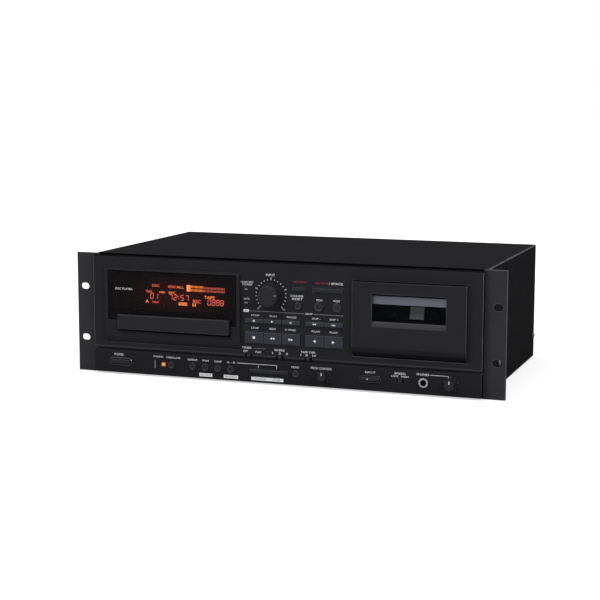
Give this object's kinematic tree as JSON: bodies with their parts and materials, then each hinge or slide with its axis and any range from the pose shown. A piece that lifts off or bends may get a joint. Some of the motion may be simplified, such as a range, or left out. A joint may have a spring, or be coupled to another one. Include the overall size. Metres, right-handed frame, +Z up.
{
  "type": "rack cd player",
  "caption": "Rack CD player with a sliding disc tray under a smoked display window, a tilting cassette door, and keys, buttons, switches and knobs on a dark moulded front.",
  "frame": {"origin": "middle of the footprint, at the level of the underside", "axes": "+X to the right seen from the front, +Y to the back, +Z up"},
  "size_m": [0.4826, 0.2816, 0.1325],
  "materials": {
    "bezel_plastic": "fine grained dark grey",
    "board_green": "green solder mask",
    "case_paint": "fine black texture paint",
    "chrome": "polished",
    "clear_window": "polished clear acrylic",
    "ear_paint": "satin black paint",
    "fascia_plastic": "fine grained dark grey",
    "inner_plastic": "moulded black",
    "key_plastic": "satin bluish black",
    "knob_plastic": "satin bluish black",
    "lamp": "clear orange lens",
    "plated_steel": "zinc plated",
    "smoked_window": "polished smoked acrylic",
    "white_plastic": "white moulded"
  },
  "bodies": {
    "chassis": {"chassis_pan": "plated_steel", "circuit_board": "board_green", "display_bezel": "bezel_plastic", "display_window": "smoked_window", "front_board": "board_green", "front_fascia": "fascia_plastic", "headphone_jack": "chrome", "loader_frame": "inner_plastic", "mains_inlet": "inner_plastic", "power_transformer": "plated_steel", "rack_ear_left": "ear_paint", "rack_ear_right": "ear_paint", "rear_jacks": "inner_plastic", "rear_panel": "case_paint", "status_lamp": "lamp", "tape_mechanism": "inner_plastic", "top_cover": "case_paint"},
    "tray": {"cd_tray": "inner_plastic", "tray_front": "fascia_plastic"},
    "pinion": {"loader_pinion": "white_plastic"},
    "turntable": {"disc_turntable": "inner_plastic"},
    "door": {"cassette_door": "bezel_plastic", "door_window": "clear_window", "cassette_holder": "plated_steel"},
    "reel_left": {"reel_hub_left": "inner_plastic"},
    "reel_right": {"reel_hub_right": "inner_plastic"},
    "capstan_left_shaft": {"capstan_left": "chrome"},
    "capstan_right_shaft": {"capstan_right": "chrome"},
    "heads": {"head_bridge": "plated_steel"},
    "input_knob": {"input_knob": "knob_plastic"},
    "pitch_knob": {"pitch_knob": "knob_plastic"},
    "phones_knob": {"phones_knob": "knob_plastic"},
    "disc_stop_key": {"disc_stop_key": "key_plastic"},
    "disc_play_key": {"disc_play_key": "key_plastic"},
    "disc_pause_key": {"disc_pause_key": "key_plastic"},
    "disc_skip_back_key": {"disc_skip_back_key": "key_plastic"},
    "disc_skip_forward_key": {"disc_skip_forward_key": "key_plastic"},
    "tape_stop_key": {"tape_stop_key": "key_plastic"},
    "tape_rewind_key": {"tape_rewind_key": "key_plastic"},
    "tape_wind_key": {"tape_wind_key": "key_plastic"},
    "tape_reverse_play_key": {"tape_reverse_play_key": "key_plastic"},
    "tape_forward_play_key": {"tape_forward_play_key": "key_plastic"},
    "reset_button": {"reset_button": "knob_plastic"},
    "monitor_button": {"monitor_button": "knob_plastic"},
    "counter_button": {"counter_button": "knob_plastic"},
    "tray_button": {"tray_button": "knob_plastic"},
    "repeat_button": {"repeat_button": "knob_plastic"},
    "program_button": {"program_button": "knob_plastic"},
    "display_button": {"display_button": "knob_plastic"},
    "search_button": {"search_button": "knob_plastic"},
    "memory_button": {"memory_button": "knob_plastic"},
    "record_button": {"record_button": "key_plastic"},
    "mute_button": {"mute_button": "key_plastic"},
    "power_button": {"power_button": "key_plastic"},
    "eject_button": {"eject_button": "key_plastic"},
    "mode_rocker": {"mode_rocker": "key_plastic"},
    "timer_switch": {"timer_switch": "key_plastic"},
    "reverse_switch": {"reverse_switch": "key_plastic"},
    "tape_switch": {"tape_switch": "key_plastic"},
    "strip_switch": {"strip_switch": "key_plastic"}
  },
  "joints": [
    {"name": "tray_slide", "type": "slide", "parent": "chassis", "child": "tray", "axis": [0, -1, 0], "range_m": [0, 0.128]},
    {"name": "pinion_spin", "type": "hinge", "parent": "chassis", "child": "pinion", "pos_m": [-0.1708, -0.10245, 0.0559], "axis": [0, 0, 1], "range_deg": [0, 876]},
    {"name": "turntable_spin", "type": "hinge", "parent": "chassis", "child": "turntable", "pos_m": [-0.1207, -0.06745, 0.0477], "axis": [0, 0, 1], "continuous": true},
    {"name": "door_hinge", "type": "hinge", "parent": "chassis", "child": "door", "pos_m": [0.142, -0.12175, 0.04765], "axis": [1, 0, 0], "range_deg": [0, 28]},
    {"name": "reel_left_spin", "type": "hinge", "parent": "chassis", "child": "reel_left", "pos_m": [0.12075, -0.11175, 0.0797], "axis": [0, 1, 0], "continuous": true},
    {"name": "reel_right_spin", "type": "hinge", "parent": "chassis", "child": "reel_right", "pos_m": [0.16325, -0.11175, 0.0797], "axis": [0, 1, 0], "continuous": true},
    {"name": "capstan_left_spin", "type": "hinge", "parent": "chassis", "child": "capstan_left_shaft", "pos_m": [0.112, -0.11175, 0.0549], "axis": [0, 1, 0], "continuous": true},
    {"name": "capstan_right_spin", "type": "hinge", "parent": "chassis", "child": "capstan_right_shaft", "pos_m": [0.172, -0.11175, 0.0549], "axis": [0, 1, 0], "continuous": true},
    {"name": "head_lift", "type": "slide", "parent": "chassis", "child": "heads", "axis": [0, 0, 1], "range_m": [0, 0.0055], "stiffness_N_per_m": 80, "springref_m": -0.002},
    {"name": "input_knob_turn", "type": "hinge", "parent": "chassis", "child": "input_knob", "pos_m": [-0.00951, -0.12975, 0.09602], "axis": [0, 1, 0], "range_deg": [-150, 150]},
    {"name": "pitch_knob_turn", "type": "hinge", "parent": "chassis", "child": "pitch_knob", "pos_m": [0.05025, -0.12975, 0.0143], "axis": [0, 1, 0], "range_deg": [-140, 140]},
    {"name": "phones_knob_turn", "type": "hinge", "parent": "chassis", "child": "phones_knob", "pos_m": [0.18682, -0.12975, 0.0143], "axis": [0, 1, 0], "range_deg": [-140, 140]},
    {"name": "disc_stop_key_press", "type": "slide", "parent": "chassis", "child": "disc_stop_key", "axis": [0, 1, 0], "range_m": [0, 0.0012], "stiffness_N_per_m": 400, "springref_m": -0.001},
    {"name": "disc_play_key_press", "type": "slide", "parent": "chassis", "child": "disc_play_key", "axis": [0, 1, 0], "range_m": [0, 0.0012], "stiffness_N_per_m": 400, "springref_m": -0.001},
    {"name": "disc_pause_key_press", "type": "slide", "parent": "chassis", "child": "disc_pause_key", "axis": [0, 1, 0], "range_m": [0, 0.0012], "stiffness_N_per_m": 400, "springref_m": -0.001},
    {"name": "disc_skip_back_key_press", "type": "slide", "parent": "chassis", "child": "disc_skip_back_key", "axis": [0, 1, 0], "range_m": [0, 0.0012], "stiffness_N_per_m": 400, "springref_m": -0.001},
    {"name": "disc_skip_forward_key_press", "type": "slide", "parent": "chassis", "child": "disc_skip_forward_key", "axis": [0, 1, 0], "range_m": [0, 0.0012], "stiffness_N_per_m": 400, "springref_m": -0.001},
    {"name": "tape_stop_key_press", "type": "slide", "parent": "chassis", "child": "tape_stop_key", "axis": [0, 1, 0], "range_m": [0, 0.0012], "stiffness_N_per_m": 400, "springref_m": -0.001},
    {"name": "tape_rewind_key_press", "type": "slide", "parent": "chassis", "child": "tape_rewind_key", "axis": [0, 1, 0], "range_m": [0, 0.0012], "stiffness_N_per_m": 400, "springref_m": -0.001},
    {"name": "tape_wind_key_press", "type": "slide", "parent": "chassis", "child": "tape_wind_key", "axis": [0, 1, 0], "range_m": [0, 0.0012], "stiffness_N_per_m": 400, "springref_m": -0.001},
    {"name": "tape_reverse_play_key_press", "type": "slide", "parent": "chassis", "child": "tape_reverse_play_key", "axis": [0, 1, 0], "range_m": [0, 0.0012], "stiffness_N_per_m": 400, "springref_m": -0.001},
    {"name": "tape_forward_play_key_press", "type": "slide", "parent": "chassis", "child": "tape_forward_play_key", "axis": [0, 1, 0], "range_m": [0, 0.0012], "stiffness_N_per_m": 400, "springref_m": -0.001},
    {"name": "reset_button_press", "type": "slide", "parent": "chassis", "child": "reset_button", "axis": [0, 1, 0], "range_m": [0, 0.001], "stiffness_N_per_m": 400, "springref_m": -0.001},
    {"name": "monitor_button_press", "type": "slide", "parent": "chassis", "child": "monitor_button", "axis": [0, 1, 0], "range_m": [0, 0.001], "stiffness_N_per_m": 400, "springref_m": -0.001},
    {"name": "counter_button_press", "type": "slide", "parent": "chassis", "child": "counter_button", "axis": [0, 1, 0], "range_m": [0, 0.001], "stiffness_N_per_m": 400, "springref_m": -0.001},
    {"name": "tray_button_press", "type": "slide", "parent": "chassis", "child": "tray_button", "axis": [0, 1, 0], "range_m": [0, 0.001], "stiffness_N_per_m": 400, "springref_m": -0.001},
    {"name": "repeat_button_press", "type": "slide", "parent": "chassis", "child": "repeat_button", "axis": [0, 1, 0], "range_m": [0, 0.001], "stiffness_N_per_m": 400, "springref_m": -0.001},
    {"name": "program_button_press", "type": "slide", "parent": "chassis", "child": "program_button", "axis": [0, 1, 0], "range_m": [0, 0.001], "stiffness_N_per_m": 400, "springref_m": -0.001},
    {"name": "display_button_press", "type": "slide", "parent": "chassis", "child": "display_button", "axis": [0, 1, 0], "range_m": [0, 0.001], "stiffness_N_per_m": 400, "springref_m": -0.001},
    {"name": "search_button_press", "type": "slide", "parent": "chassis", "child": "search_button", "axis": [0, 1, 0], "range_m": [0, 0.001], "stiffness_N_per_m": 400, "springref_m": -0.001},
    {"name": "memory_button_press", "type": "slide", "parent": "chassis", "child": "memory_button", "axis": [0, 1, 0], "range_m": [0, 0.001], "stiffness_N_per_m": 400, "springref_m": -0.001},
    {"name": "record_button_press", "type": "slide", "parent": "chassis", "child": "record_button", "axis": [0, 1, 0], "range_m": [0, 0.001], "stiffness_N_per_m": 400, "springref_m": -0.001},
    {"name": "mute_button_press", "type": "slide", "parent": "chassis", "child": "mute_button", "axis": [0, 1, 0], "range_m": [0, 0.001], "stiffness_N_per_m": 400, "springref_m": -0.001},
    {"name": "power_button_press", "type": "slide", "parent": "chassis", "child": "power_button", "axis": [0, 1, 0], "range_m": [0, 0.001], "stiffness_N_per_m": 400, "springref_m": -0.001},
    {"name": "eject_button_press", "type": "slide", "parent": "chassis", "child": "eject_button", "axis": [0, 1, 0], "range_m": [0, 0.001], "stiffness_N_per_m": 400, "springref_m": -0.001},
    {"name": "mode_rocker_tilt", "type": "hinge", "parent": "chassis", "child": "mode_rocker", "pos_m": [-0.01092, -0.12925, 0.0143], "axis": [0, 0, 1], "range_deg": [-2.5, 2.5], "stiffness_Nm_per_rad": 0.2},
    {"name": "timer_switch_slide", "type": "slide", "parent": "chassis", "child": "timer_switch", "axis": [1, 0, 0], "range_m": [-0.002, 0.002]},
    {"name": "reverse_switch_slide", "type": "slide", "parent": "chassis", "child": "reverse_switch", "axis": [1, 0, 0], "range_m": [-0.002, 0.002]},
    {"name": "tape_switch_slide", "type": "slide", "parent": "chassis", "child": "tape_switch", "axis": [1, 0, 0], "range_m": [-0.002, 0.002]},
    {"name": "strip_switch_slide", "type": "slide", "parent": "chassis", "child": "strip_switch", "axis": [1, 0, 0], "range_m": [-0.002, 0.002]}
  ],
  "couplings": [
    {"joint": "pinion_spin", "follows": "tray_slide", "rad_per_m": 119.05},
    {"joint": "capstan_right_spin", "follows": "capstan_left_spin", "ratio": -1}
  ]
}
